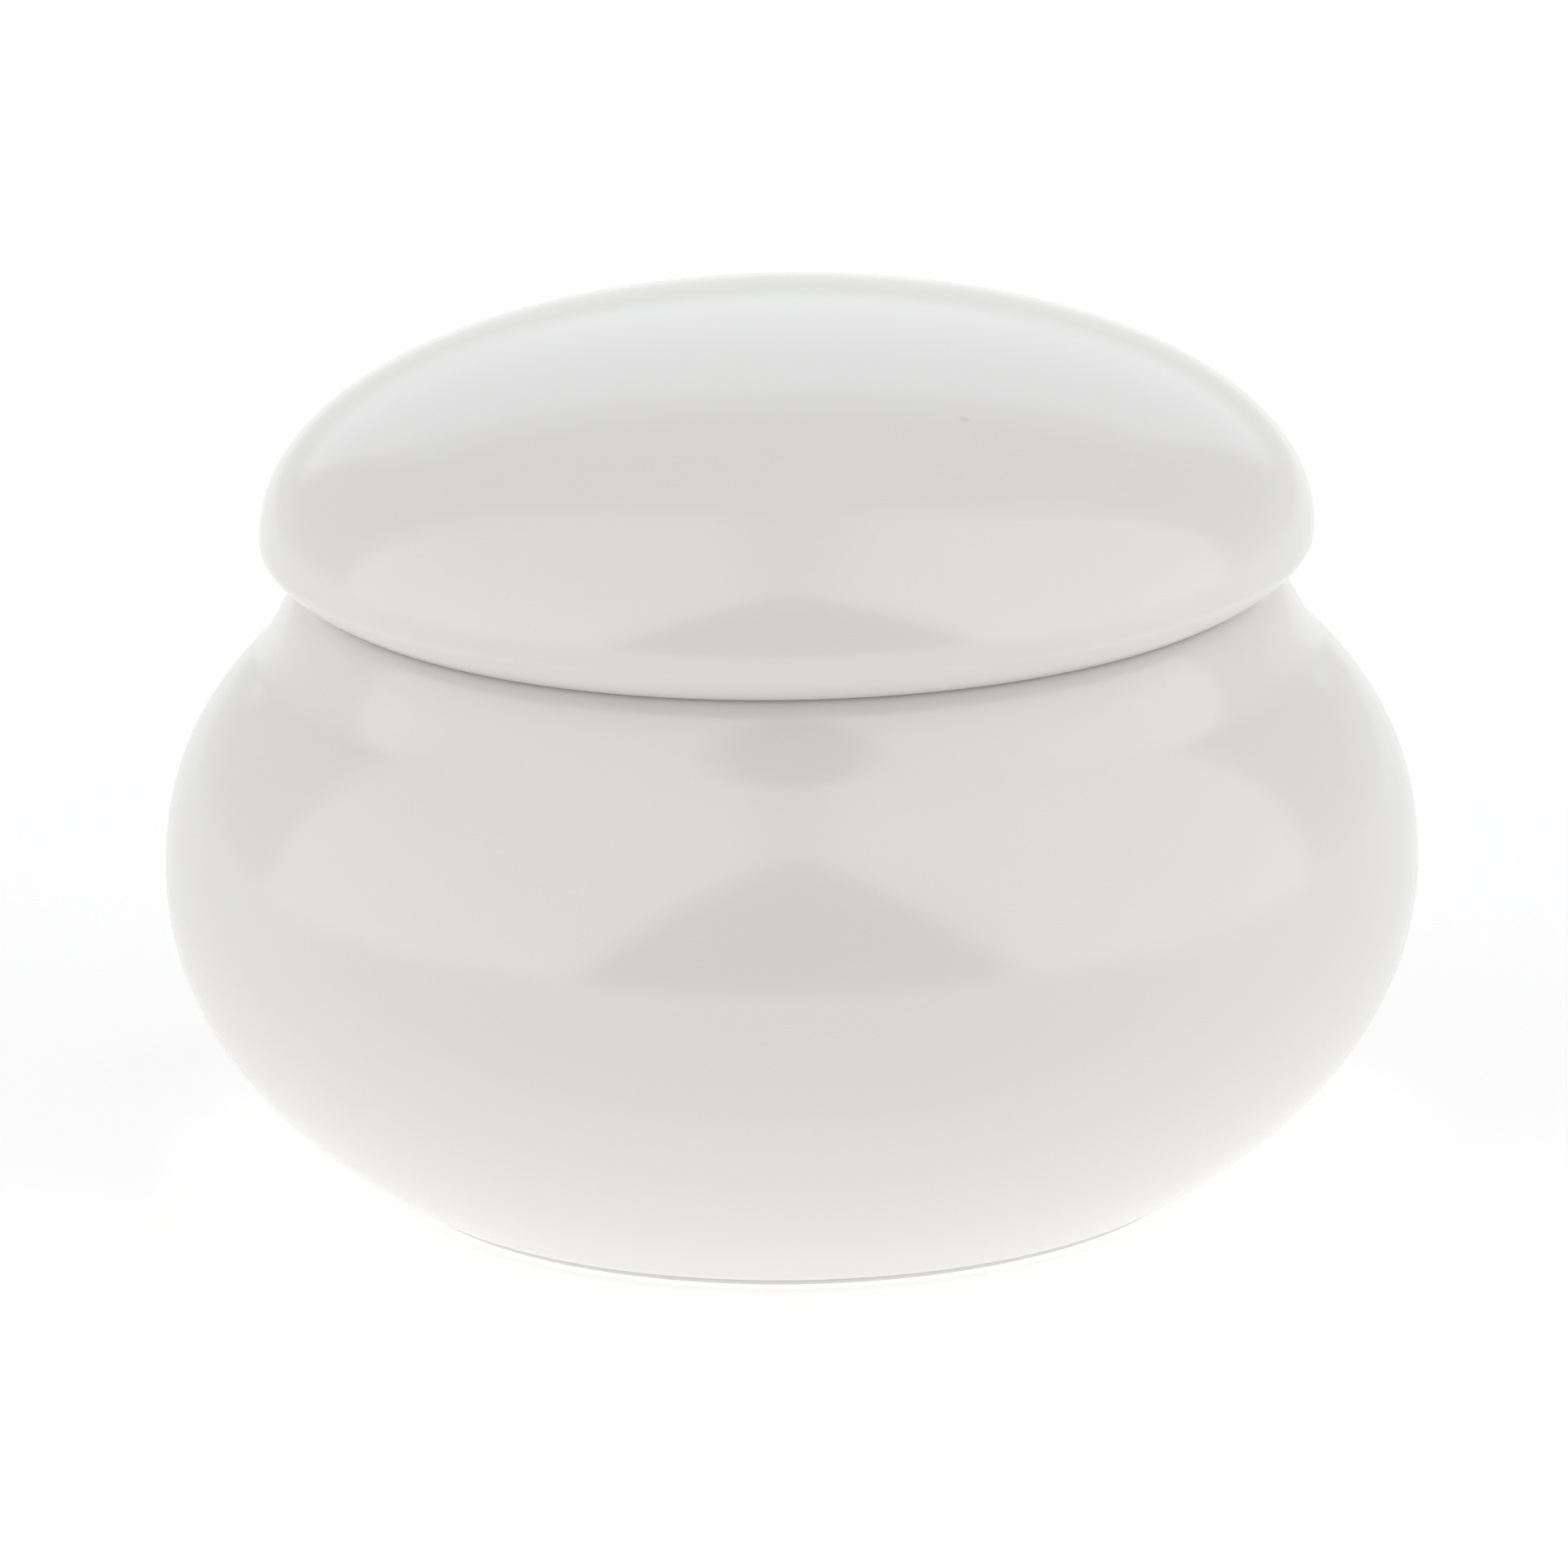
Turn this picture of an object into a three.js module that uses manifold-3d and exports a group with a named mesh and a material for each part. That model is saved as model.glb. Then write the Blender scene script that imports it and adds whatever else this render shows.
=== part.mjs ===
// A squat cream jar of glossy white plastic under a domed screw lid. Millimetres, +Z up.
// The origin is the middle of the foot, on the surface that the jar stands on.
//
// A thick outer jar has a thin cup hung in its bore by a flange. The cup holds the cream and
// carries the neck with its thread. A plate closes the outer jar from below. A disc with a
// fold-up tab covers the cream. The lid is a hollow dome with a threaded liner pressed into it,
// and a foam gasket lies in the liner's ceiling.

import * as THREE from "three";
import { mergeVertices } from "three/addons/utils/BufferGeometryUtils.js";
import Module from "manifold-3d";

const wasm = await Module();
wasm.setup();

// Gap between pieces that touch, and how deep a joined detail is sunk into its wall
const clearance = 0.3;
const embed = 0.4;

// Vertices closer than this are the same corner
const sameCorner = 1e-4;

// Cup and neck
const mouthRadius = 21.2;
const cupWall = 1.4;
const cupFloor = 1.4;
const cupCorner = 2.6;
const cupGap = 0.6;
const cupDraft = THREE.MathUtils.degToRad(1.5);
const neckRise = 4.4;
const lipChamfer = 0.3;
const flangeWidth = 2.0;
const flangeThickness = 1.0;

// Lugs under the flange, which keep the cup from turning, and the bead that holds it down
const lugCount = 3;
const lugWidth = 3.0;
const lugReach = 1.6;
const lugDrop = 0.9;
const beadDepth = 0.35;
const beadWidth = 1.2;
const beadFlat = 0.25;
const beadDrop = 3.0;

// Thread of the neck and the liner: several starts, so that the lid comes off in a short turn
const threadStarts = 3;
const threadPitch = 3.0;
const threadDepth = 0.9;
const ridgeFoot = 1.0;
const ridgeCrest = 0.5;
const flankGap = 0.25;
const threadRun = 1.1;
const threadTop = 0.65;
const ridgeFade = THREE.MathUtils.degToRad(15);
const linerLead = THREE.MathUtils.degToRad(45);

// Outer jar: a superellipse below and above its widest ring, with a land where the flange sits
const bodyRadius = 37.0;
const bodyMiddle = 18.75;
const bellyPower = 2.0;
const shoulderRise = 22.0;
const shoulderPower = 2.25;
const landMargin = 1.0;

// Collar round the land: it bends up out of the shoulder and passes close under the lid's rim
const rimGap = 0.15;
const collarReach = 3.2;
const collarBend = 1.2;
const collarFlare = 0.9;
const collarInset = 0.5;

// Base plate, whose thin edge shows as a small step under the outer jar
const footRim = 1.84;
const footStep = 0.3;
const footHeight = 0.9;
const footEdge = 0.4;
const footSeam = 0.1;
const recessDepth = 0.4;
const recessMargin = 3.0;
const plateThickness = 1.2;
const plugWall = 1.2;
const plugRise = 3.4;

// Seal disc, with a well in which the pull tab lies
const discRim = 0.7;
const discInset = 0.2;
const discWall = 0.8;
const discFloor = 0.8;
const discChamfer = 0.4;

// Pull tab: a half-moon flap with a raised border
const flapRadius = 9.0;
const flapThickness = 0.8;
const flapBorder = 1.4;
const flapRidge = 0.4;
const flapRoom = 0.2;
const flapHinge = 4.5;

// Lid liner and its gasket
const linerWall = 1.2;
const linerCeiling = 1.1;
const linerChamferWidth = 1.4;
const linerChamferHeight = 1.0;
const skirtGap = 0.5;
const snapMargin = 0.4;
const gasketThickness = 0.8;
const gasketHold = 0.6;
const gasketBead = 0.4;

// Ribs in the dome, which drive the liner round
const ribCount = 6;
const ribWidth = 1.6;
const ribDepth = 0.55;

// Lid dome: a superellipse below and above its widest ring
const rimWidth = 3.1;
const rimLift = 0.87;
const rimChamfer = 0.4;
const lidBulge = 2.6;
const lidUnderRise = 6.8;
const lidUnderPower = 1.8;
const lidPower = 2.15;
const domeWall = 2.2;
const domeRoom = 0.8;

// Facets: sides of the large and the small round pieces, and steps along their curves
const largeSides = 60;
const smallSides = 40;
const longSteps = 14;
const shortSteps = 8;
const roundSteps = 4;
const threadStep = THREE.MathUtils.degToRad(8);

// Radii that follow, from the mouth outwards
const neckRadius = mouthRadius + cupWall;
const threadCrest = neckRadius + threadDepth;
const flangeRadius = neckRadius + flangeWidth;
const landRadius = flangeRadius + landMargin;
const linerBore = threadCrest + clearance;
const linerRadius = linerBore + linerWall;
const domeBore = linerRadius + clearance;
const rimRadius = domeBore + rimWidth;
const lidRadius = rimRadius + lidBulge;

// Heights that follow, from the shoulder up through the closed lid
const shoulder = { radius: bodyRadius, reach: shoulderRise, power: shoulderPower, middle: bodyMiddle };
const landHeight = heightOn(shoulder, landRadius);
const flangeBottom = landHeight + clearance;
const flangeTop = flangeBottom + flangeThickness;
const lipHeight = flangeTop + neckRise;
const discRimBottom = lipHeight + clearance;
const discTop = discRimBottom + discRim;
const wellFloor = discTop - flapRoom - flapRidge - flapThickness - clearance;
const gasketBottom = discTop + clearance;
const gasketTop = gasketBottom + gasketThickness;
const ceilingHeight = gasketTop + clearance;
const linerTop = ceilingHeight + linerCeiling;
const linerShoulder = linerTop - linerChamferHeight;
const skirtBottom = flangeTop + skirtGap;
const grooveWidth = beadWidth + 2 * clearance;
const snapHeight = skirtBottom + snapMargin + beadWidth / 2;
const ribBottom = snapHeight + grooveWidth / 2;

// The lid's widest ring stands over its rim, and its crown clears the liner's shoulder
const rimHeight = landHeight + rimLift;
const collarTop = rimHeight - rimGap;
const collarFoot = rimRadius + collarReach;
const lidMiddle = rimHeight + lidUnderRise * rise(rimRadius / lidRadius, lidUnderPower);
const hollowRadius = lidRadius - domeWall;
const hollowRise =
  (linerShoulder + domeRoom - lidMiddle) / rise(linerRadius / hollowRadius, lidPower);
const hollow = { radius: hollowRadius, reach: hollowRise, power: lidPower, middle: lidMiddle };
const crown = { radius: lidRadius, reach: hollowRise + domeWall, power: lidPower, middle: lidMiddle };
const lidUnder = { radius: lidRadius, reach: -lidUnderRise, power: lidUnderPower, middle: lidMiddle };

// The cup tapers to its floor, which lies just over the base plate's plug
const cupBottom = plugRise + cupGap;
const floorHeight = cupBottom + cupFloor;
const taper = Math.tan(cupDraft);
const beadHeight = landHeight - beadDrop;

// The foot and the belly follow the cup's bottom
const plugRadius = cupRadius(cupBottom);
const boreRadius = plugRadius + clearance;
const footRadius = boreRadius + footRim;
const recessRadius = footRadius - recessMargin;
const bodyBottom = footEdge + footSeam;
const seatHeight = footHeight + footSeam;
const bellyEdge = footRadius + footStep;
const bellyDrop = (bodyMiddle - bodyBottom) / rise(bellyEdge / bodyRadius, bellyPower);
const belly = { radius: bodyRadius, reach: -bellyDrop, power: bellyPower, middle: bodyMiddle };
const plugBeadHeight = (seatHeight + plugRise) / 2;

// The thread's helix, and how far a ridge of it turns on the neck
const threadLead = threadStarts * threadPitch;
const threadBottom = flangeTop + threadRun;
const threadSweep = (2 * Math.PI * (lipHeight - threadTop - threadBottom)) / threadLead;

// Height of a unit superellipse at a share of its radius
function rise(share, power) {
  return (1 - share ** power) ** (1 / power);
}

// Height at a radius of a superellipse that curves up or down from its widest ring
function heightOn({ radius, reach, power, middle }, r) {
  return middle + reach * rise(r / radius, power);
}

// Outer radius of the cup's tapered wall at a height
function cupRadius(height) {
  return neckRadius - taper * (flangeBottom - height);
}

// Points along a superellipse, from one radius to another
function swell({ radius, reach, power, middle }, fromRadius, toRadius, steps) {
  const angleAt = (r) => Math.acos((r / radius) ** (power / 2));
  const first = angleAt(fromRadius);
  const last = angleAt(toRadius);
  return Array.from({ length: steps + 1 }, (_, i) => {
    const angle = THREE.MathUtils.lerp(first, last, i / steps);
    const r = i === steps ? toRadius : radius * Math.cos(angle) ** (2 / power);
    return [r, middle + reach * Math.sin(angle) ** (2 / power)];
  });
}

// Points of a quarter round, about a centre, between two angles
function quarter(centreRadius, centreHeight, radius, fromAngle, toAngle) {
  return Array.from({ length: roundSteps + 1 }, (_, i) => {
    const angle = THREE.MathUtils.lerp(fromAngle, toAngle, i / roundSteps);
    return [centreRadius + radius * Math.cos(angle), centreHeight + radius * Math.sin(angle)];
  });
}

// A low bead round an outer wall, or the groove for it in a bore, listed from its top down
function bead(wallAt, height, width) {
  const edge = width / 2;
  const flat = edge * beadFlat;
  return [
    [wallAt(height + edge), height + edge],
    [wallAt(height) + beadDepth, height + flat],
    [wallAt(height) + beadDepth, height - flat],
    [wallAt(height - edge), height - edge],
  ];
}

// A closed geometry as a solid that can be joined and cut
function solidFrom(geometry) {
  const bare = new THREE.BufferGeometry();
  bare.setAttribute("position", geometry.getAttribute("position"));
  bare.setIndex(geometry.index);
  const merged = mergeVertices(bare, sameCorner);
  const corners = merged.index.array;
  const triangles = [];
  for (let i = 0; i < corners.length; i += 3) {
    const [a, b, c] = corners.slice(i, i + 3);
    if (a !== b && b !== c && c !== a) triangles.push(a, b, c);
  }
  return new wasm.Manifold(
    new wasm.Mesh({
      numProp: 3,
      vertProperties: merged.getAttribute("position").array,
      triVerts: new Uint32Array(triangles),
    }),
  );
}

// A solid of revolution. The profile lists radius and height with the material on its left.
function revolve(profile, sides) {
  const points = profile.map(([radius, height]) => new THREE.Vector2(radius, height));
  if (points[0].x > 0) points.push(points[0]);
  const geometry = new THREE.LatheGeometry(points, sides);
  geometry.rotateX(Math.PI / 2);
  return solidFrom(geometry);
}

// Blocks set evenly round the axis, from an inner to an outer radius
function blocks(count, width, inner, outer, bottom, top) {
  return Array.from({ length: count }, (_, i) => {
    const block = new THREE.BoxGeometry(outer - inner, width, top - bottom);
    block.translate((inner + outer) / 2, 0, (bottom + top) / 2);
    block.rotateZ((2 * Math.PI * i) / count);
    return solidFrom(block);
  });
}

// One thread ridge: a trapezoid swept up a helix, sinking into its wall at both ends.
// side is 1 where it stands outwards from the wall, and -1 where it stands inwards.
function ridge(wallRadius, side, startAngle, startHeight) {
  const steps = Math.ceil(threadSweep / threadStep);
  const root = wallRadius - side * embed;
  const positions = [];
  for (let i = 0; i <= steps; i++) {
    const turned = (threadSweep * i) / steps;
    const full = Math.min(1, turned / ridgeFade, (threadSweep - turned) / ridgeFade);
    const crest = wallRadius + side * THREE.MathUtils.lerp(-embed / 2, threadDepth, full);
    const height = startHeight + (threadLead * turned) / (2 * Math.PI);
    const section = [
      [root, -ridgeFoot / 2],
      [crest, -ridgeCrest / 2],
      [crest, ridgeCrest / 2],
      [root, ridgeFoot / 2],
    ];
    if (side < 0) section.reverse();
    const angle = startAngle + turned;
    for (const [radius, offset] of section) {
      positions.push(radius * Math.cos(angle), radius * Math.sin(angle), height + offset);
    }
  }
  const last = 4 * steps;
  const index = [0, 1, 2, 0, 2, 3, last, last + 2, last + 1, last, last + 3, last + 2];
  for (let ring = 0; ring < last; ring += 4) {
    for (let corner = 0; corner < 4; corner++) {
      const here = ring + corner;
      const next = ring + ((corner + 1) % 4);
      index.push(here, here + 4, next + 4, here, next + 4, next);
    }
  }
  const geometry = new THREE.BufferGeometry();
  geometry.setAttribute("position", new THREE.Float32BufferAttribute(positions, 3));
  geometry.setIndex(index);
  return solidFrom(geometry);
}

// All the ridges of a thread, one for each start
function thread(wallRadius, side, startAngle, startHeight) {
  return Array.from({ length: threadStarts }, (_, i) =>
    ridge(wallRadius, side, startAngle + (2 * Math.PI * i) / threadStarts, startHeight),
  );
}

function joined(solid, details) {
  return details.reduce((whole, detail) => whole.add(detail), solid);
}

function cut(solid, details) {
  return details.reduce((whole, detail) => whole.subtract(detail), solid);
}

// A named mesh of a finished solid
function piece(name, solid, material) {
  const { vertProperties, triVerts } = solid.getMesh();
  const geometry = new THREE.BufferGeometry();
  geometry.setAttribute("position", new THREE.BufferAttribute(vertProperties, 3));
  geometry.setIndex(new THREE.BufferAttribute(triVerts, 1));
  geometry.computeVertexNormals();
  const mesh = new THREE.Mesh(geometry, material);
  mesh.name = name;
  return mesh;
}

// The collar's curve, from the shoulder up to its flat top
function collarCurve() {
  const bend = collarFoot - collarBend;
  const curve = new THREE.CubicBezierCurve(
    new THREE.Vector2(collarFoot, heightOn(shoulder, collarFoot)),
    new THREE.Vector2(bend, heightOn(shoulder, bend)),
    new THREE.Vector2(rimRadius + collarFlare, collarTop),
    new THREE.Vector2(rimRadius - collarInset, collarTop),
  );
  return curve.getPoints(shortSteps).map(({ x, y }) => [x, y]);
}

// Outer jar: bulging outside, with a tapered bore right through for the cup
function makeOuterJar() {
  const boreAt = (height) => Math.max(cupRadius(height), plugRadius) + clearance;
  const profile = [
    [boreRadius, seatHeight],
    ...swell(belly, bellyEdge, bodyRadius, shortSteps),
    ...swell(shoulder, bodyRadius, collarFoot, shortSteps).slice(1),
    ...collarCurve().slice(1),
    [flangeRadius + clearance, collarTop],
    [flangeRadius + clearance, landHeight],
    [boreAt(landHeight), landHeight],
    ...bead(boreAt, beadHeight, grooveWidth),
    [boreRadius, cupBottom],
    ...bead(boreAt, plugBeadHeight, grooveWidth),
  ];
  const notches = blocks(
    lugCount,
    lugWidth + 2 * clearance,
    neckRadius - embed,
    neckRadius + lugReach + clearance,
    landHeight - lugDrop,
    landHeight + embed,
  );
  return cut(revolve(profile, largeSides), notches);
}

// Base plate: a disc with a raised plug that snaps into the bore from below
function makeBasePlate() {
  const plugAt = () => plugRadius;
  const plugInner = plugRadius - plugWall;
  const plateTop = recessDepth + plateThickness;
  return revolve(
    [
      [0, recessDepth],
      [recessRadius, recessDepth],
      [recessRadius, 0],
      [footRadius, 0],
      [footRadius, footEdge],
      [plugRadius, footHeight],
      ...bead(plugAt, plugBeadHeight, beadWidth).reverse(),
      [plugRadius, plugRise],
      [plugInner, plugRise],
      [plugInner, plateTop],
      [0, plateTop],
    ],
    smallSides,
  );
}

// Cup: hangs by its flange on the outer jar's land, and carries the neck with the thread
function makeInnerCup() {
  const innerFloorRadius = mouthRadius - taper * (lipHeight - floorHeight);
  const outerCorner = cupCorner + cupWall;
  const lowest = plugRadius - outerCorner;
  const body = revolve(
    [
      [0, cupBottom],
      ...quarter(lowest, cupBottom + outerCorner, outerCorner, -Math.PI / 2, 0),
      ...bead(cupRadius, beadHeight, beadWidth).reverse(),
      [neckRadius, flangeBottom],
      [flangeRadius, flangeBottom],
      [flangeRadius, flangeTop],
      [neckRadius, flangeTop],
      [neckRadius, lipHeight - lipChamfer],
      [neckRadius - lipChamfer, lipHeight],
      [mouthRadius, lipHeight],
      ...quarter(innerFloorRadius - cupCorner, floorHeight + cupCorner, cupCorner, 0, -Math.PI / 2),
      [0, floorHeight],
    ],
    smallSides,
  );
  const lugs = blocks(
    lugCount,
    lugWidth,
    neckRadius - embed,
    neckRadius + lugReach,
    flangeBottom - lugDrop,
    flangeBottom + embed,
  );
  return joined(body, [...lugs, ...thread(neckRadius, 1, 0, threadBottom)]);
}

// Seal disc: its rim lies on the lip, and its well plugs the mouth
function makeSealDisc() {
  const wellOuter = mouthRadius - clearance;
  const wellInner = wellOuter - discWall;
  const rimOuter = neckRadius - discInset;
  const underside = wellFloor - discFloor;
  return revolve(
    [
      [0, underside],
      [wellOuter - discChamfer, underside],
      [wellOuter, underside + discChamfer],
      [wellOuter, discRimBottom],
      [rimOuter, discRimBottom],
      [rimOuter, discTop],
      [wellInner, discTop],
      [wellInner, wellFloor],
      [0, wellFloor],
    ],
    smallSides,
  );
}

// A flat half moon below the X axis, or with an inner radius its border alone
function halfMoon(innerRadius, depth, bottom) {
  const shape = new THREE.Shape();
  shape.absarc(0, 0, flapRadius, Math.PI, 2 * Math.PI);
  if (innerRadius > 0) shape.absarc(0, 0, innerRadius, 2 * Math.PI, Math.PI, true);
  shape.closePath();
  const geometry = new THREE.ExtrudeGeometry(shape, {
    depth,
    bevelEnabled: false,
    curveSegments: longSteps,
  });
  geometry.translate(0, flapHinge, bottom);
  return solidFrom(geometry);
}

// Pull tab: lies in the disc's well and folds up about its straight edge
function makePullTab() {
  const bottom = wellFloor + clearance;
  const flap = halfMoon(0, flapThickness, bottom);
  const borderBottom = bottom + flapThickness / 2;
  const border = halfMoon(flapRadius - flapBorder, flapThickness / 2 + flapRidge, borderBottom);
  return joined(flap, [border]);
}

// Lid dome: a hollow overcap whose bore takes the liner
function makeLidDome() {
  const boreAt = () => domeBore;
  const shell = revolve(
    [
      ...swell(hollow, domeBore, 0, shortSteps).reverse(),
      ...bead(boreAt, snapHeight, grooveWidth),
      [domeBore, rimHeight + rimChamfer],
      [domeBore + rimChamfer, rimHeight],
      ...swell(lidUnder, rimRadius, lidRadius, roundSteps),
      ...swell(crown, lidRadius, 0, longSteps).slice(1),
    ],
    largeSides,
  );
  const ribs = blocks(
    ribCount,
    ribWidth,
    domeBore - ribDepth,
    domeBore + embed,
    ribBottom,
    linerShoulder - clearance,
  );
  return joined(shell, ribs);
}

// Lid liner: the inner cap, with the thread inside and slots outside for the dome's ribs
function makeLidLiner() {
  const linerAt = () => linerRadius;
  const holdHeight = gasketBottom - clearance;
  const body = revolve(
    [
      [linerBore, skirtBottom],
      [linerRadius, skirtBottom],
      ...bead(linerAt, snapHeight, beadWidth).reverse(),
      [linerRadius, linerShoulder],
      [linerRadius - linerChamferWidth, linerTop],
      [0, linerTop],
      [0, ceilingHeight],
      [linerBore, ceilingHeight],
      [linerBore, holdHeight],
      [linerBore - gasketHold, holdHeight - gasketBead / 2],
      [linerBore, holdHeight - gasketBead],
    ],
    smallSides,
  );
  const slots = blocks(
    ribCount,
    ribWidth + 2 * clearance,
    domeBore - ribDepth - clearance,
    linerRadius + embed,
    ribBottom - clearance,
    linerTop + embed,
  );
  const linerThreadHeight = threadBottom + (threadLead * linerLead) / (2 * Math.PI);
  const threadOffset = (ridgeFoot + ridgeCrest) / 2 + flankGap;
  const ridges = thread(linerBore, -1, linerLead, linerThreadHeight - threadOffset);
  return joined(cut(body, slots), ridges);
}

// Gasket: a foam disc in the liner's ceiling, which the lip presses through the seal disc
function makeLidGasket() {
  const radius = linerBore - clearance;
  return revolve(
    [
      [0, gasketBottom],
      [radius, gasketBottom],
      [radius, gasketTop],
      [0, gasketTop],
    ],
    smallSides,
  );
}

const glossWhite = new THREE.MeshStandardMaterial({ color: 0xe8e7e5, roughness: 0.15, metalness: 0 });
const cupWhite = new THREE.MeshStandardMaterial({ color: 0xf0efec, roughness: 0.45, metalness: 0 });
const softWhite = new THREE.MeshStandardMaterial({ color: 0xf2f1ee, roughness: 0.6, metalness: 0 });
const foamWhite = new THREE.MeshStandardMaterial({ color: 0xf4f3f0, roughness: 0.9, metalness: 0 });

const body = new THREE.Group();
body.add(piece("outer_jar", makeOuterJar(), glossWhite));
body.add(piece("base_plate", makeBasePlate(), cupWhite));
body.add(piece("inner_cup", makeInnerCup(), cupWhite));

const seal = new THREE.Group();
seal.add(piece("seal_disc", makeSealDisc(), softWhite));
seal.add(piece("pull_tab", makePullTab(), softWhite));

const lid = new THREE.Group();
lid.add(piece("lid_dome", makeLidDome(), glossWhite));
lid.add(piece("lid_liner", makeLidLiner(), cupWhite));
lid.add(piece("lid_gasket", makeLidGasket(), foamWhite));

const jar = new THREE.Group();
jar.add(body, seal, lid);

export default jar;
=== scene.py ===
import math

import bpy
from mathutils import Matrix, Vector
from mathutils.geometry import interpolate_bezier


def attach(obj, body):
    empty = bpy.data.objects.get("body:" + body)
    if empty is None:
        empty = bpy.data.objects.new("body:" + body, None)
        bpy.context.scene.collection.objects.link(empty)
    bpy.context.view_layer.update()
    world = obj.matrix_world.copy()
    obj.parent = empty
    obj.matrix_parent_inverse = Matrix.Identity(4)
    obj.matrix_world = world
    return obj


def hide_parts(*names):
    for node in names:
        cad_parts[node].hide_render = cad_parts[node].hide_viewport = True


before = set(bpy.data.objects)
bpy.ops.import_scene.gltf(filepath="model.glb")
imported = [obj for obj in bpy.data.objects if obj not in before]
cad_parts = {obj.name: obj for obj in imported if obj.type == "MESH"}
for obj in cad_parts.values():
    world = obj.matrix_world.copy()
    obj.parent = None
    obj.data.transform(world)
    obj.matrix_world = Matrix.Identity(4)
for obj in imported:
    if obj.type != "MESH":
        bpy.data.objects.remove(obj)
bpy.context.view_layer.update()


# Outer jar: the thick bulging shell that the whole jar is built round, in glossy white plastic.
# It is injection moulded in one and open right through, with a collar that turns up under the
# lid. Its bore has grooves for the beads of the cup and the plate, and three notches for the cup.


def choose(piece):
    """Deselect everything, then select one piece for the tools to act on."""
    bpy.ops.object.select_all(action="DESELECT")
    piece.select_set(True)
    bpy.context.view_layer.objects.active = piece


def swelling(curve, start, end, steps):
    """Points along a swelling curve, from one radius to another."""
    radius, level, reach, power = curve
    first = math.acos((start / radius) ** (power / 2))
    last = math.acos((end / radius) ** (power / 2))
    points = []
    for i in range(steps + 1):
        angle = first + (last - first) * i / steps
        across = radius * math.cos(angle) ** (2 / power)
        up = level + reach * math.sin(angle) ** (2 / power)
        points.append((across, up))
    return points


def eased(outline, radius):
    """Round the sharp corners of an outline, as the edges of a mould are."""
    points = []
    for i, corner in enumerate(outline):
        here = Vector(corner)
        before = Vector(outline[i - 1]) - here
        after = Vector(outline[(i + 1) % len(outline)]) - here
        if here.x < 0.001 or before.angle(after) > math.radians(155):
            points.append(corner)
            continue
        reach = radius / math.tan(before.angle(after) / 2)
        reach = min(reach, 0.45 * before.length, 0.45 * after.length)
        start = here + reach * before.normalized()
        end = here + reach * after.normalized()
        for k in range(5):
            share = k / 4
            on_arc = start.lerp(here, share).lerp(here.lerp(end, share), share)
            points.append(tuple(on_arc))
    if outline[0][0] > 0:
        points.append(points[0])
    return points


def turned(name, outline, sides):
    """Spin an outline of radius and level, in millimetres, into a closed round piece."""
    bpy.ops.object.select_all(action="DESELECT")
    radius, level = outline[0]
    bpy.ops.mesh.primitive_plane_add(size=0.001, location=(radius * 0.001, 0, level * 0.001))
    piece = bpy.context.object
    piece.name = name
    piece.data.name = name
    bpy.ops.object.transform_apply(location=True, rotation=True, scale=True)
    bpy.ops.object.mode_set(mode="EDIT")
    bpy.ops.mesh.merge(type="CENTER")
    for here, there in zip(outline, outline[1:]):
        step = ((there[0] - here[0]) * 0.001, 0, (there[1] - here[1]) * 0.001)
        bpy.ops.mesh.extrude_region_move(TRANSFORM_OT_translate={"value": step})
    bpy.ops.mesh.select_all(action="SELECT")
    bpy.ops.mesh.spin(steps=sides, angle=math.tau, center=(0, 0, 0), axis=(0, 0, 1))
    bpy.ops.mesh.select_all(action="SELECT")
    bpy.ops.mesh.remove_doubles(threshold=0.000002)
    bpy.ops.mesh.normals_make_consistent(inside=False)
    bpy.ops.object.mode_set(mode="OBJECT")
    return piece


def block(inner, outer, width, bottom, top, easing):
    """A block out along the X axis, in millimetres, with its edges rounded."""
    bpy.ops.object.select_all(action="DESELECT")
    middle = ((inner + outer) * 0.0005, 0, (bottom + top) * 0.0005)
    size = ((outer - inner) * 0.001, width * 0.001, (top - bottom) * 0.001)
    bpy.ops.mesh.primitive_cube_add(size=1, location=middle, scale=size)
    tool = bpy.context.object
    bpy.ops.object.transform_apply(location=True, rotation=True, scale=True)
    bpy.ops.object.mode_set(mode="EDIT")
    bpy.ops.mesh.select_all(action="SELECT")
    bpy.ops.mesh.bevel(offset=easing * 0.001, segments=3, affect="EDGES")
    bpy.ops.object.mode_set(mode="OBJECT")
    return tool


def set_round(tool, count):
    """Copy a tool evenly round the axis, and make the copies one object."""
    tools = [tool]
    for i in range(1, count):
        choose(tool)
        bpy.ops.object.duplicate()
        copy = bpy.context.object
        angle = math.tau * i / count
        bpy.ops.transform.rotate(value=angle, orient_axis="Z", center_override=(0, 0, 0))
        bpy.ops.object.transform_apply(location=True, rotation=True, scale=True)
        tools.append(copy)
    choose(tool)
    for copy in tools:
        copy.select_set(True)
    bpy.ops.object.join()
    return tool


def combine(piece, tool, operation):
    """Join a tool to a piece or cut it out of the piece."""
    choose(piece)
    boolean = piece.modifiers.new("tool", "BOOLEAN")
    boolean.operation = operation
    boolean.solver = "MANIFOLD"
    boolean.object = tool
    bpy.ops.object.modifier_apply(modifier="tool")
    bpy.data.objects.remove(tool)


def finished(piece, material, node, body):
    """Smooth a piece, give it its plastic, and put it in its node's place."""
    choose(piece)
    bpy.ops.object.shade_smooth_by_angle(angle=math.radians(32))
    piece.data.materials.clear()
    piece.data.materials.append(material)
    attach(piece, body)
    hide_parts(node)


def ramp(nodes, start, end, low, high):
    """A value that goes from low to high while its input goes from start to end."""
    node = nodes.new("ShaderNodeMapRange")
    node.inputs["From Min"].default_value = start
    node.inputs["From Max"].default_value = end
    node.inputs["To Min"].default_value = low
    node.inputs["To Max"].default_value = high
    return node


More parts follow.
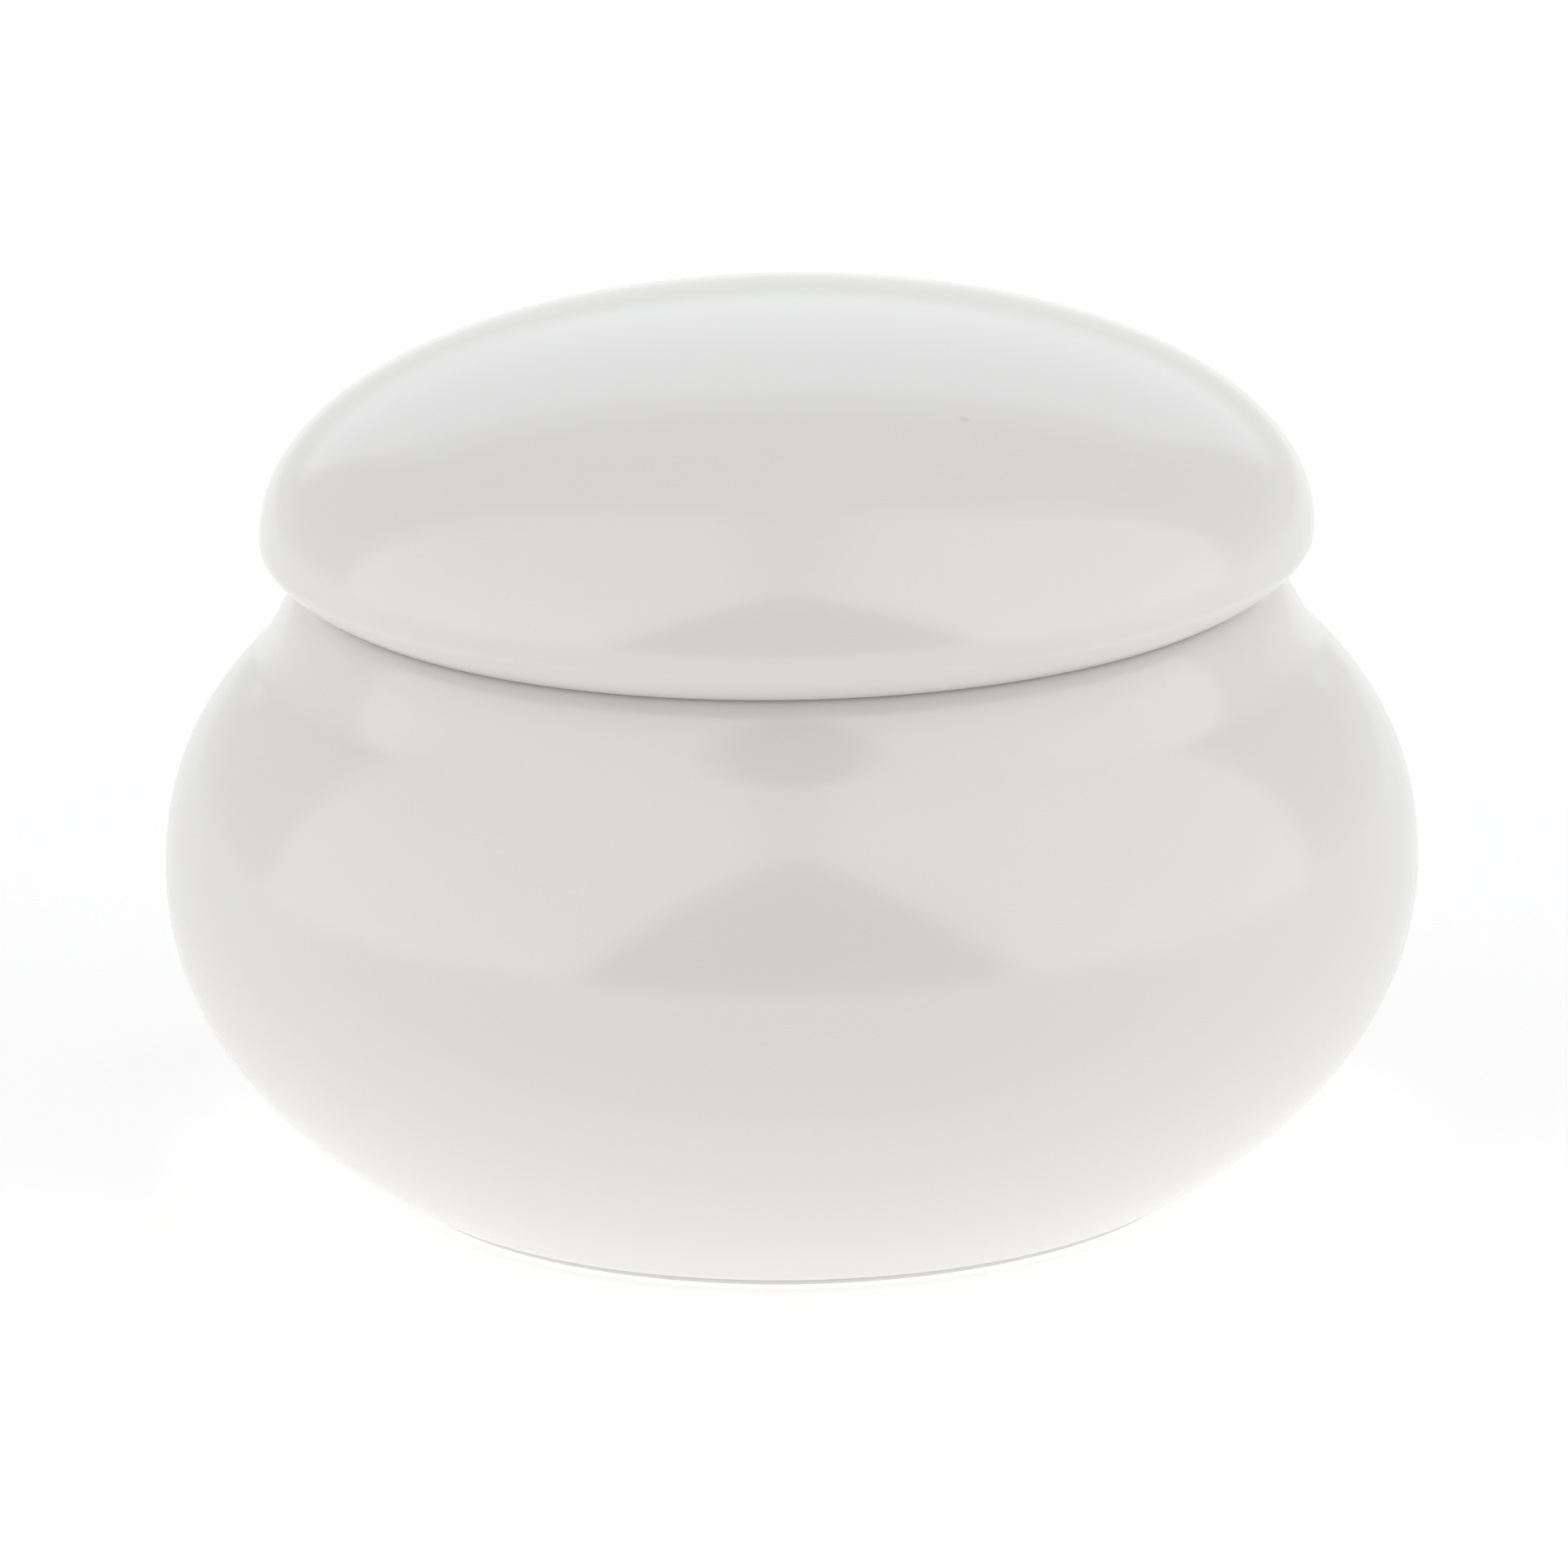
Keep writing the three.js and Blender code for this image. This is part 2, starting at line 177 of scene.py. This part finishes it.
def plastic_grain():
    """Clouds of colour, smudges that dull the gloss, and a fine skin, for every moulded plastic."""
    group = bpy.data.node_groups.new("Plastic grain", "ShaderNodeTree")
    inputs = (
        ("Colour", "NodeSocketColor"),
        ("Cloud Colour", "NodeSocketColor"),
        ("Cloud Scale", "NodeSocketFloat"),
        ("Polish", "NodeSocketFloat"),
        ("Smudge", "NodeSocketFloat"),
        ("Smudge Scale", "NodeSocketFloat"),
        ("Skin Scale", "NodeSocketFloat"),
        ("Skin Depth", "NodeSocketFloat"),
    )
    for label, kind in inputs:
        group.interface.new_socket(label, in_out="INPUT", socket_type=kind)
    group.interface.new_socket("Color", in_out="OUTPUT", socket_type="NodeSocketColor")
    group.interface.new_socket("Roughness", in_out="OUTPUT", socket_type="NodeSocketFloat")
    group.interface.new_socket("Normal", in_out="OUTPUT", socket_type="NodeSocketVector")
    nodes = group.nodes
    links = group.links
    given = nodes.new("NodeGroupInput")
    result = nodes.new("NodeGroupOutput")
    place = nodes.new("ShaderNodeTexCoord")

    clouds = nodes.new("ShaderNodeTexNoise")
    clouds.inputs["Detail"].default_value = 3
    clouds.inputs["Roughness"].default_value = 0.5
    links.new(place.outputs["Object"], clouds.inputs["Vector"])
    links.new(given.outputs["Cloud Scale"], clouds.inputs["Scale"])
    cloud_share = ramp(nodes, start=0.35, end=0.65, low=0, high=1)
    links.new(clouds.outputs["Fac"], cloud_share.inputs["Value"])
    tint = nodes.new("ShaderNodeMixRGB")
    links.new(cloud_share.outputs["Result"], tint.inputs["Fac"])
    links.new(given.outputs["Colour"], tint.inputs["Color1"])
    links.new(given.outputs["Cloud Colour"], tint.inputs["Color2"])
    links.new(tint.outputs["Color"], result.inputs["Color"])

    smudges = nodes.new("ShaderNodeTexNoise")
    smudges.inputs["Detail"].default_value = 5
    smudges.inputs["Distortion"].default_value = 0.6
    links.new(place.outputs["Object"], smudges.inputs["Vector"])
    links.new(given.outputs["Smudge Scale"], smudges.inputs["Scale"])
    smudge_share = ramp(nodes, start=0.48, end=0.72, low=0, high=1)
    links.new(smudges.outputs["Fac"], smudge_share.inputs["Value"])
    dulled = nodes.new("ShaderNodeMath")
    dulled.operation = "MULTIPLY_ADD"
    links.new(smudge_share.outputs["Result"], dulled.inputs[0])
    links.new(given.outputs["Smudge"], dulled.inputs[1])
    links.new(given.outputs["Polish"], dulled.inputs[2])
    links.new(dulled.outputs["Value"], result.inputs["Roughness"])

    skin = nodes.new("ShaderNodeTexNoise")
    skin.inputs["Detail"].default_value = 2
    links.new(place.outputs["Object"], skin.inputs["Vector"])
    links.new(given.outputs["Skin Scale"], skin.inputs["Scale"])
    relief = nodes.new("ShaderNodeBump")
    relief.inputs["Strength"].default_value = 1.0
    links.new(given.outputs["Skin Depth"], relief.inputs["Distance"])
    links.new(skin.outputs["Fac"], relief.inputs["Height"])
    links.new(relief.outputs["Normal"], result.inputs["Normal"])
    return group


shared_grain = plastic_grain()


def plastic(name, ior, colour, cloud, cloud_scale, polish, smudge, smudge_scale, skin_scale, skin_depth):
    """A moulded plastic: its own shader, fed by the grain that all of them share."""
    material = bpy.data.materials.new(name)
    material.use_nodes = True
    nodes = material.node_tree.nodes
    links = material.node_tree.links
    shader = nodes["Principled BSDF"]
    grain = nodes.new("ShaderNodeGroup")
    grain.name = "Grain"
    grain.node_tree = shared_grain
    grain.inputs["Colour"].default_value = (*colour, 1)
    grain.inputs["Cloud Colour"].default_value = (*cloud, 1)
    grain.inputs["Cloud Scale"].default_value = cloud_scale
    grain.inputs["Polish"].default_value = polish
    grain.inputs["Smudge"].default_value = smudge
    grain.inputs["Smudge Scale"].default_value = smudge_scale
    grain.inputs["Skin Scale"].default_value = skin_scale
    grain.inputs["Skin Depth"].default_value = skin_depth
    links.new(grain.outputs["Color"], shader.inputs["Base Color"])
    links.new(grain.outputs["Roughness"], shader.inputs["Roughness"])
    links.new(grain.outputs["Normal"], shader.inputs["Normal"])
    shader.inputs["IOR"].default_value = ior
    return material


jar_gloss = plastic(
    "Glossy white plastic",
    ior=1.57,
    colour=(0.846, 0.838, 0.821),
    cloud=(0.834, 0.826, 0.81),
    cloud_scale=22,
    polish=0.15,
    smudge=0.05,
    smudge_scale=45,
    skin_scale=110,
    skin_depth=0.000006,
)


def bent(start, start_pull, end_pull, end, steps):
    """Points along a curve that leaves and reaches its ends towards two pulls."""
    corners = [Vector((*point, 0)) for point in (start, start_pull, end_pull, end)]
    return [(point.x, point.y) for point in interpolate_bezier(*corners, steps + 1)]


def height_on(curve, radius):
    """The level of a swelling curve at a radius."""
    widest, level, reach, power = curve
    return level + reach * (1 - (radius / widest) ** power) ** (1 / power)


taper = 0.0262
bore_foot = 22.06


def bore_radius(level):
    """The bore is straight round the plug and tapers with the cup above it."""
    return bore_foot + taper * max(0.0, level - 4.0)


jar_radius = 37.0
jar_middle = 18.75
belly = (jar_radius, jar_middle, -24.126, 2.0)
shoulder = (jar_radius, jar_middle, 22.0, 2.25)
collar_foot = 31.6
collar_top = 36.6
land = 35.8
bead_depth = 0.35
cup_bead = 32.8
collar = bent(
    (collar_foot, height_on(shoulder, collar_foot)),
    (30.4, height_on(shoulder, 30.4)),
    (29.3, collar_top),
    (27.9, collar_top),
    32,
)
jar_outline = [
    (bore_foot, 1.0),
    *swelling(belly, 24.2, jar_radius, 56),
    *swelling(shoulder, jar_radius, collar_foot, 44)[1:],
    *collar[1:],
    (24.9, collar_top),
    (24.9, land),
    (bore_radius(land), land),
    (bore_radius(33.7), 33.7),
    (bore_radius(cup_bead) + bead_depth, 33.02),
    (bore_radius(cup_bead) + bead_depth, 32.58),
    (bore_radius(31.9), 31.9),
    (bore_foot, 4.0),
    (bore_foot, 3.1),
    (bore_foot + bead_depth, 2.425),
    (bore_foot + bead_depth, 1.975),
    (bore_foot, 1.3),
]
outer_jar = turned("outer_jar_shell", eased(jar_outline, 0.2), 192)
combine(outer_jar, set_round(block(22.2, 24.5, 3.6, 34.9, 36.5, 0.2), 3), "DIFFERENCE")
finished(outer_jar, jar_gloss, "outer_jar", "jar")


# Base plate: closes the outer jar from below, in the satin white plastic of the inside pieces.
# It stands on a ring round its edge, has the mark of the mould's gate in the middle of its
# underside, and snaps into the jar by a plug with a bead.

satin = plastic(
    "Satin white plastic",
    ior=1.5,
    colour=(0.80, 0.797, 0.787),
    cloud=(0.785, 0.783, 0.775),
    cloud_scale=30,
    polish=0.42,
    smudge=0.08,
    smudge_scale=60,
    skin_scale=2600,
    skin_depth=0.000012,
)
plug_radius = 21.76
foot_radius = 23.9
plate_outline = [
    (0, 0.55),
    (0.5, 0.55),
    (0.65, 0.75),
    (1.9, 0.75),
    (2.4, 0.4),
    (16.0, 0.4),
    (16.25, 0.28),
    (16.75, 0.28),
    (17.0, 0.4),
    (20.9, 0.4),
    (20.9, 0),
    (23.4, 0),
    (23.75, 0.12),
    (foot_radius, 0.4),
    (plug_radius, 0.9),
    (plug_radius, 1.6),
    (plug_radius + bead_depth, 2.05),
    (plug_radius + bead_depth, 2.35),
    (plug_radius, 2.8),
    (plug_radius, 3.4),
    (20.56, 3.4),
    (20.56, 1.6),
    (0, 1.6),
]
base_plate = turned("base_plate_moulded", eased(plate_outline, 0.15), 144)
finished(base_plate, satin, "base_plate", "jar")


# Inner cup: holds the cream and carries the neck, in satin white plastic.
# It hangs by its flange on the outer jar's rim, held by a bead in the bore's groove, and three
# lugs under the flange sit in the rim's notches. The neck has a thread of three starts.


def quarter(across, up, radius, first, last):
    """Points of a quarter round, between two angles."""
    points = []
    for i in range(13):
        angle = math.radians(first + (last - first) * i / 12)
        points.append((across + radius * math.cos(angle), up + radius * math.sin(angle)))
    return points


def thread_ridge(root, crest, fade, angle, level):
    """One ridge of the thread, swept up its helix, with both of its ends sunk into the wall."""
    sweep = 106
    bpy.ops.object.select_all(action="DESELECT")
    middle = (root + crest) * 0.0005
    width = abs(crest - root) * 0.001
    bpy.ops.mesh.primitive_plane_add(size=1, location=(middle, 0, 0), rotation=(math.pi / 2, 0, 0))
    ridge = bpy.context.object
    ridge.scale = (width, 0.001, 1)
    bpy.ops.object.transform_apply(location=True, rotation=True, scale=True)
    bpy.ops.object.mode_set(mode="EDIT")
    bpy.ops.mesh.select_all(action="DESELECT")
    bpy.ops.object.mode_set(mode="OBJECT")
    for corner in ridge.data.vertices:
        corner.select = abs(corner.co.x - crest * 0.001) < 0.00001
    bpy.ops.object.mode_set(mode="EDIT")
    bpy.ops.transform.resize(value=(1, 1, 0.5), center_override=(crest * 0.001, 0, 0))
    bpy.ops.object.mode_set(mode="OBJECT")
    helix = ridge.modifiers.new("helix", "SCREW")
    helix.axis = "Z"
    helix.angle = math.radians(sweep)
    helix.screw_offset = 0.00265
    helix.steps = 40
    helix.render_steps = 40
    bpy.ops.object.modifier_apply(modifier="helix")
    bpy.ops.object.mode_set(mode="EDIT")
    bpy.ops.mesh.select_all(action="SELECT")
    bpy.ops.mesh.fill_holes(sides=4)
    bpy.ops.mesh.select_all(action="SELECT")
    bpy.ops.mesh.normals_make_consistent(inside=False)
    bpy.ops.mesh.select_all(action="DESELECT")
    bpy.ops.object.mode_set(mode="OBJECT")
    for corner in ridge.data.vertices:
        turn = math.degrees(math.atan2(corner.co.y, corner.co.x))
        corner.select = abs(turn) < 0.5 or abs(turn - sweep) < 0.5
    bpy.ops.object.mode_set(mode="EDIT")
    bpy.ops.transform.resize(
        value=(fade, fade, 1),
        center_override=(0, 0, 0),
        use_proportional_edit=True,
        proportional_edit_falloff="SMOOTH",
        proportional_size=0.006,
        use_proportional_connected=True,
    )
    bpy.ops.object.mode_set(mode="OBJECT")
    ridge.location = (0, 0, level * 0.001)
    ridge.rotation_euler = (0, 0, math.radians(angle))
    bpy.ops.object.transform_apply(location=True, rotation=True, scale=True)
    return ridge


neck_radius = 22.6
flange_radius = 24.6
flange_bottom = 36.1
flange_top = 37.1
lip = 41.5


def cup_radius(level):
    """The cup's outside tapers towards its floor, so that it leaves the mould."""
    return neck_radius - taper * (flange_bottom - level)


cup_outline = [
    (0, 4.0),
    *quarter(17.76, 8.0, 4.0, -90, 0),
    (cup_radius(32.2), 32.2),
    (cup_radius(cup_bead) + bead_depth, 32.65),
    (cup_radius(cup_bead) + bead_depth, 32.95),
    (cup_radius(33.4), 33.4),
    (neck_radius, flange_bottom),
    (flange_radius, flange_bottom),
    (flange_radius, flange_top),
    (neck_radius, flange_top),
    (neck_radius, lip - 0.3),
    (neck_radius - 0.3, lip),
    (21.2, lip),
    *quarter(17.65, 8.0, 2.6, 0, -90),
    (0, 5.4),
]
inner_cup = turned("inner_cup_moulded", eased(cup_outline, 0.18), 168)
combine(inner_cup, set_round(block(22.2, 24.2, 3.0, 35.2, 36.5, 0.15), 3), "UNION")
combine(inner_cup, set_round(thread_ridge(22.2, 23.5, 0.957, 0, 38.2), 3), "UNION")
finished(inner_cup, satin, "inner_cup", "jar")


# Seal disc: the loose lid over the cream, in a softer white plastic with a waxy look.
# Its rim lies on the neck's lip, its well plugs the mouth, and the pull tab lies in the well.

waxy = plastic(
    "Soft waxy white plastic",
    ior=1.5,
    colour=(0.82, 0.818, 0.806),
    cloud=(0.80, 0.799, 0.79),
    cloud_scale=55,
    polish=0.52,
    smudge=0.08,
    smudge_scale=70,
    skin_scale=1500,
    skin_depth=0.000014,
)
disc_outline = [
    (0, 40.12),
    (0.8, 40.12),
    (1.2, 40.0),
    (20.5, 40.0),
    (20.9, 40.4),
    (20.9, 41.8),
    (22.4, 41.8),
    (22.4, 42.5),
    (20.1, 42.5),
    (20.1, 40.8),
    (0, 40.8),
]
seal_disc = turned("seal_disc_moulded", eased(disc_outline, 0.15), 144)
finished(seal_disc, waxy, "seal_disc", "disc")


# Pull tab: a half-moon flap of the seal disc's plastic, with a raised border for the fingers.
# It lies in the disc's well, and folds up about its straight edge to lift the disc out.

fold_line = 0.0045
tab_bottom = 0.0411
border = 0.0014
bpy.ops.object.select_all(action="DESELECT")
bpy.ops.mesh.primitive_circle_add(
    vertices=128,
    radius=0.009,
    fill_type="NGON",
    location=(0, fold_line, tab_bottom),
)
pull_tab = bpy.context.object
pull_tab.name = "pull_tab_moulded"
pull_tab.data.name = "pull_tab_moulded"
bpy.ops.object.transform_apply(location=True, rotation=True, scale=True)
bpy.ops.object.mode_set(mode="EDIT")
bpy.ops.mesh.select_all(action="SELECT")
bpy.ops.mesh.inset(thickness=border)
bpy.ops.mesh.select_all(action="SELECT")
bpy.ops.mesh.bisect(plane_co=(0, fold_line, tab_bottom), plane_no=(0, 1, 0), clear_outer=True)
bpy.ops.mesh.select_all(action="SELECT")
bpy.ops.mesh.extrude_region_move(TRANSFORM_OT_translate={"value": (0, 0, 0.0008)})
bpy.ops.mesh.select_all(action="DESELECT")
bpy.ops.object.mode_set(mode="OBJECT")
for face in pull_tab.data.polygons:
    on_top = face.normal.z > 0.9 or face.normal.z < -0.9
    raised = face.center.z > 0.0418
    outer = math.hypot(face.center.x, face.center.y - fold_line) > 0.0075
    face.select = on_top and raised and outer
bpy.ops.object.mode_set(mode="EDIT")
bpy.ops.mesh.extrude_region_move(TRANSFORM_OT_translate={"value": (0, 0, 0.0004)})
bpy.ops.mesh.select_all(action="SELECT")
bpy.ops.mesh.remove_doubles(threshold=0.000002)
bpy.ops.mesh.normals_make_consistent(inside=False)
bpy.ops.object.mode_set(mode="OBJECT")
easing = pull_tab.modifiers.new("easing", "BEVEL")
easing.width = 0.00012
easing.segments = 3
easing.limit_method = "ANGLE"
easing.angle_limit = math.radians(40)
bpy.ops.object.modifier_apply(modifier="easing")
finished(pull_tab, waxy, "pull_tab", "tab")


# Lid liner: the inner cap that screws on the neck, in satin white plastic.
# It has the thread inside, a bead outside that snaps into the dome's groove, slots for the
# dome's ribs, and a small bead that holds the gasket.

liner_bore = 23.8
liner_radius = 25.0
liner_outline = [
    (0, 43.9),
    (liner_bore, 43.9),
    (liner_bore, 42.5),
    (23.2, 42.3),
    (liner_bore, 42.1),
    (liner_bore, 37.6),
    (liner_radius, 37.6),
    (liner_radius, 38.0),
    (liner_radius + bead_depth, 38.45),
    (liner_radius + bead_depth, 38.75),
    (liner_radius, 39.2),
    (liner_radius, 44.0),
    (23.6, 45.0),
    (0, 45.0),
]
lid_liner = turned("lid_liner_moulded", eased(liner_outline, 0.15), 168)
combine(lid_liner, set_round(block(24.45, 25.6, 2.2, 39.2, 45.6, 0.12), 6), "DIFFERENCE")
combine(lid_liner, set_round(thread_ridge(24.2, 22.9, 1.045, 45, 38.325), 3), "UNION")
finished(lid_liner, satin, "lid_liner", "lid")


# Lid gasket: a disc of closed-cell white foam, laid in the liner's ceiling.
# The seal disc's rim has pressed a shallow ring into its underside.

foam = plastic(
    "White foam",
    ior=1.5,
    colour=(0.84, 0.838, 0.825),
    cloud=(0.80, 0.798, 0.787),
    cloud_scale=900,
    polish=0.82,
    smudge=0.08,
    smudge_scale=300,
    skin_scale=3200,
    skin_depth=0.00006,
)
gasket_outline = [
    (0, 42.8),
    (19.9, 42.8),
    (20.15, 42.87),
    (22.35, 42.87),
    (22.6, 42.8),
    (23.5, 42.8),
    (23.5, 43.6),
    (0, 43.6),
]
lid_gasket = turned("lid_gasket_foam", eased(gasket_outline, 0.1), 144)
finished(lid_gasket, foam, "lid_gasket", "gasket")


# Lid dome: the pebble-shaped overcap of the same glossy white plastic as the outer jar.
# It is moulded hollow, curls in below its widest ring, and has six ribs in its bore that turn
# the liner. A small soft darker spot is painted near the top of its front, right of the middle.

# The lid's copy of the gloss paints a small soft darker spot into its colour at one point of the front.
lid_gloss = jar_gloss.copy()
lid_gloss.name = "Glossy white plastic with a speck"
lid_nodes = lid_gloss.node_tree.nodes
lid_links = lid_gloss.node_tree.links
lid_place = lid_nodes.new("ShaderNodeTexCoord")
from_speck = lid_nodes.new("ShaderNodeVectorMath")
from_speck.operation = "DISTANCE"
from_speck.inputs[1].default_value = (0.0103, -0.0158, 0.0497)
speck_share = ramp(lid_nodes, start=0.0001, end=0.00045, low=1, high=0)
speck_share.interpolation_type = "SMOOTHSTEP"
speck_tint = lid_nodes.new("ShaderNodeMixRGB")
speck_tint.inputs["Color2"].default_value = (0.74, 0.735, 0.72, 1)
lid_links.new(lid_place.outputs["Object"], from_speck.inputs[0])
lid_links.new(from_speck.outputs["Value"], speck_share.inputs["Value"])
lid_links.new(speck_share.outputs["Result"], speck_tint.inputs["Fac"])
lid_links.new(lid_nodes["Grain"].outputs["Color"], speck_tint.inputs["Color1"])
lid_links.new(speck_tint.outputs["Color"], lid_nodes["Principled BSDF"].inputs["Base Color"])

lid_radius = 31.0
lid_middle = 39.0
dome_bore = 25.3
lid_under = (lid_radius, lid_middle, -6.8, 1.8)
lid_crown = (lid_radius, lid_middle, 13.0, 2.15)
lid_hollow = (28.8, lid_middle, 10.8, 2.15)
dome_outline = [
    *reversed(swelling(lid_hollow, dome_bore, 0, 30)),
    (dome_bore, 39.5),
    (dome_bore + bead_depth, 38.82),
    (dome_bore + bead_depth, 38.38),
    (dome_bore, 37.7),
    (dome_bore, 37.07),
    (25.7, 36.67),
    *swelling(lid_under, 28.4, lid_radius, 24),
    *swelling(lid_crown, lid_radius, 0, 80)[1:],
]
lid_dome = turned("lid_dome_shell", eased(dome_outline, 0.2), 192)
combine(lid_dome, set_round(block(24.75, 25.7, 1.6, 39.5, 43.7, 0.12), 6), "UNION")
finished(lid_dome, lid_gloss, "lid_dome", "lid")


# Floor: a plain pale sheet under the jar. It shows white, takes the jar's soft shadow, and sends
# no light back up, so that the jar looks the same on any floor.


def seen_rays(nodes, links):
    """One where the camera, a gloss or a clear piece looks, and zero where light is gathered."""
    path = nodes.new("ShaderNodeLightPath")
    seen = nodes.new("ShaderNodeMath")
    seen.operation = "ADD"
    seen.use_clamp = True
    links.new(path.outputs["Is Camera Ray"], seen.inputs[0])
    links.new(path.outputs["Is Glossy Ray"], seen.inputs[1])
    through = nodes.new("ShaderNodeMath")
    through.operation = "ADD"
    through.use_clamp = True
    links.new(seen.outputs["Value"], through.inputs[0])
    links.new(path.outputs["Is Transmission Ray"], through.inputs[1])
    return through.outputs["Value"]


bpy.ops.object.select_all(action="DESELECT")
bpy.ops.mesh.primitive_plane_add(size=2, location=(0, 0, -0.0001))
floor = bpy.context.object
floor.name = "floor"
floor.visible_diffuse = False
floor.visible_shadow = False
floor_white = bpy.data.materials.new("Pale floor")
floor_white.use_nodes = True
floor_nodes = floor_white.node_tree.nodes
floor_links = floor_white.node_tree.links
floor_paint = floor_nodes["Principled BSDF"]
floor_paint.inputs["Base Color"].default_value = (0.9, 0.9, 0.9, 1)
floor_paint.inputs["Roughness"].default_value = 0.9
floor_paint.inputs["Specular IOR Level"].default_value = 0.2
floor_paint.inputs["Emission Color"].default_value = (1, 1, 1, 1)
floor_place = floor_nodes.new("ShaderNodeTexCoord")
from_jar = floor_nodes.new("ShaderNodeVectorMath")
from_jar.operation = "LENGTH"
floor_fill = ramp(floor_nodes, start=0.08, end=0.5, low=0.36, high=0.62)
floor_lift = floor_nodes.new("ShaderNodeMath")
floor_lift.operation = "MULTIPLY"
floor_links.new(floor_place.outputs["Object"], from_jar.inputs[0])
floor_links.new(from_jar.outputs["Value"], floor_fill.inputs["Value"])
floor_links.new(seen_rays(floor_nodes, floor_links), floor_lift.inputs[0])
floor_links.new(floor_fill.outputs["Result"], floor_lift.inputs[1])
floor_links.new(floor_lift.outputs["Value"], floor_paint.inputs["Emission Strength"])
floor.data.materials.append(floor_white)


# Lamps: two large soft ones lean together over the jar like a tent, with a gap between them for
# the camera, and a low one with a cool tint stands behind and lights the top of the lid.


def soft_lamp(name, place, turn, width, height, power):
    """A soft rectangular lamp, which shows in the jar's gloss but not to the camera."""
    bpy.ops.object.light_add(type="AREA", location=place, rotation=turn)
    lamp = bpy.context.object
    lamp.name = name
    lamp.data.shape = "RECTANGLE"
    lamp.data.size = width
    lamp.data.size_y = height
    lamp.data.energy = power
    lamp.visible_camera = False
    return lamp


lean = math.radians(63)
soft_lamp("left_panel", (-0.59, -0.45, 0.8), (0, -lean, 0), width=1.8, height=1.5, power=6.5)
soft_lamp("right_panel", (0.59, -0.45, 0.8), (0, lean, 0), width=1.8, height=1.5, power=7.0)
upright = (-math.pi / 2, 0, 0)
back_panel = soft_lamp("back_panel", (0, 0.9, 0.49), upright, width=1.1, height=0.6, power=0.95)
back_panel.data.color = (0.86, 0.9, 1.0)


# Black card: a three-cornered card that stands behind the camera, in the gap between the lamps.
# It shows in the jar's gloss alone, as the dark patch in the middle of the front.

bpy.ops.object.select_all(action="DESELECT")
bpy.ops.mesh.primitive_circle_add(
    vertices=3,
    radius=0.867,
    fill_type="NGON",
    location=(0.02, -0.95, 0.434),
    rotation=(math.pi / 2, 0, 0),
)
dark_card = bpy.context.object
dark_card.name = "dark_card"
dark_card.visible_camera = False
dark_card.visible_diffuse = False
dark_card.visible_shadow = False
card_black = bpy.data.materials.new("Black card")
card_black.use_nodes = True
card_paint = card_black.node_tree.nodes["Principled BSDF"]
card_paint.inputs["Base Color"].default_value = (0.03, 0.03, 0.03, 1)
card_paint.inputs["Roughness"].default_value = 0.9
dark_card.data.materials.append(card_black)


# Room: shows white all round. Its light comes mostly from below, as from a white table, and from
# high above, so that the sides between them stay a little darker.

room = bpy.data.worlds.new("White room")
bpy.context.scene.world = room
room.use_nodes = True
room_nodes = room.node_tree.nodes
room_links = room.node_tree.links
room_nodes.clear()
room_output = room_nodes.new("ShaderNodeOutputWorld")
shown_or_lit = room_nodes.new("ShaderNodeMixShader")
shown = room_nodes.new("ShaderNodeBackground")
shown.inputs["Color"].default_value = (1, 1, 1, 1)
shown.inputs["Strength"].default_value = 1.0
lit = room_nodes.new("ShaderNodeBackground")
lit.inputs["Color"].default_value = (1, 1, 1, 1)
direction = room_nodes.new("ShaderNodeTexCoord")
split = room_nodes.new("ShaderNodeSeparateXYZ")
from_below = ramp(room_nodes, start=-0.15, end=0.15, low=1.02, high=0.03)
from_below.interpolation_type = "SMOOTHSTEP"
from_above = ramp(room_nodes, start=0.4, end=0.8, low=0, high=0.36)
from_above.interpolation_type = "SMOOTHSTEP"
room_light = room_nodes.new("ShaderNodeMath")
room_light.operation = "ADD"
room_links.new(direction.outputs["Generated"], split.inputs["Vector"])
room_links.new(split.outputs["Z"], from_below.inputs["Value"])
room_links.new(split.outputs["Z"], from_above.inputs["Value"])
room_links.new(from_below.outputs["Result"], room_light.inputs[0])
room_links.new(from_above.outputs["Result"], room_light.inputs[1])
room_links.new(room_light.outputs["Value"], lit.inputs["Strength"])
room_links.new(seen_rays(room_nodes, room_links), shown_or_lit.inputs["Fac"])
room_links.new(lit.outputs["Background"], shown_or_lit.inputs[1])
room_links.new(shown.outputs["Background"], shown_or_lit.inputs[2])
room_links.new(shown_or_lit.outputs["Shader"], room_output.inputs["Surface"])


# Camera: a little above the jar and well back, with a long lens, turned slightly about its own
# line of sight, as the photographer's was.

camera_place = Vector((0, -0.81625, 0.26314))
camera_aim = Vector((-0.0004, 0, 0.02336))
aimed = (camera_aim - camera_place).to_track_quat("-Z", "Y").to_euler()
bpy.ops.object.camera_add(location=camera_place, rotation=aimed)
camera = bpy.context.object
camera.rotation_euler.rotate_axis("Z", math.radians(-0.88))
camera.data.lens = 330.8
camera.data.sensor_width = 36
bpy.context.scene.camera = camera
bpy.context.scene.view_settings.view_transform = "Standard"
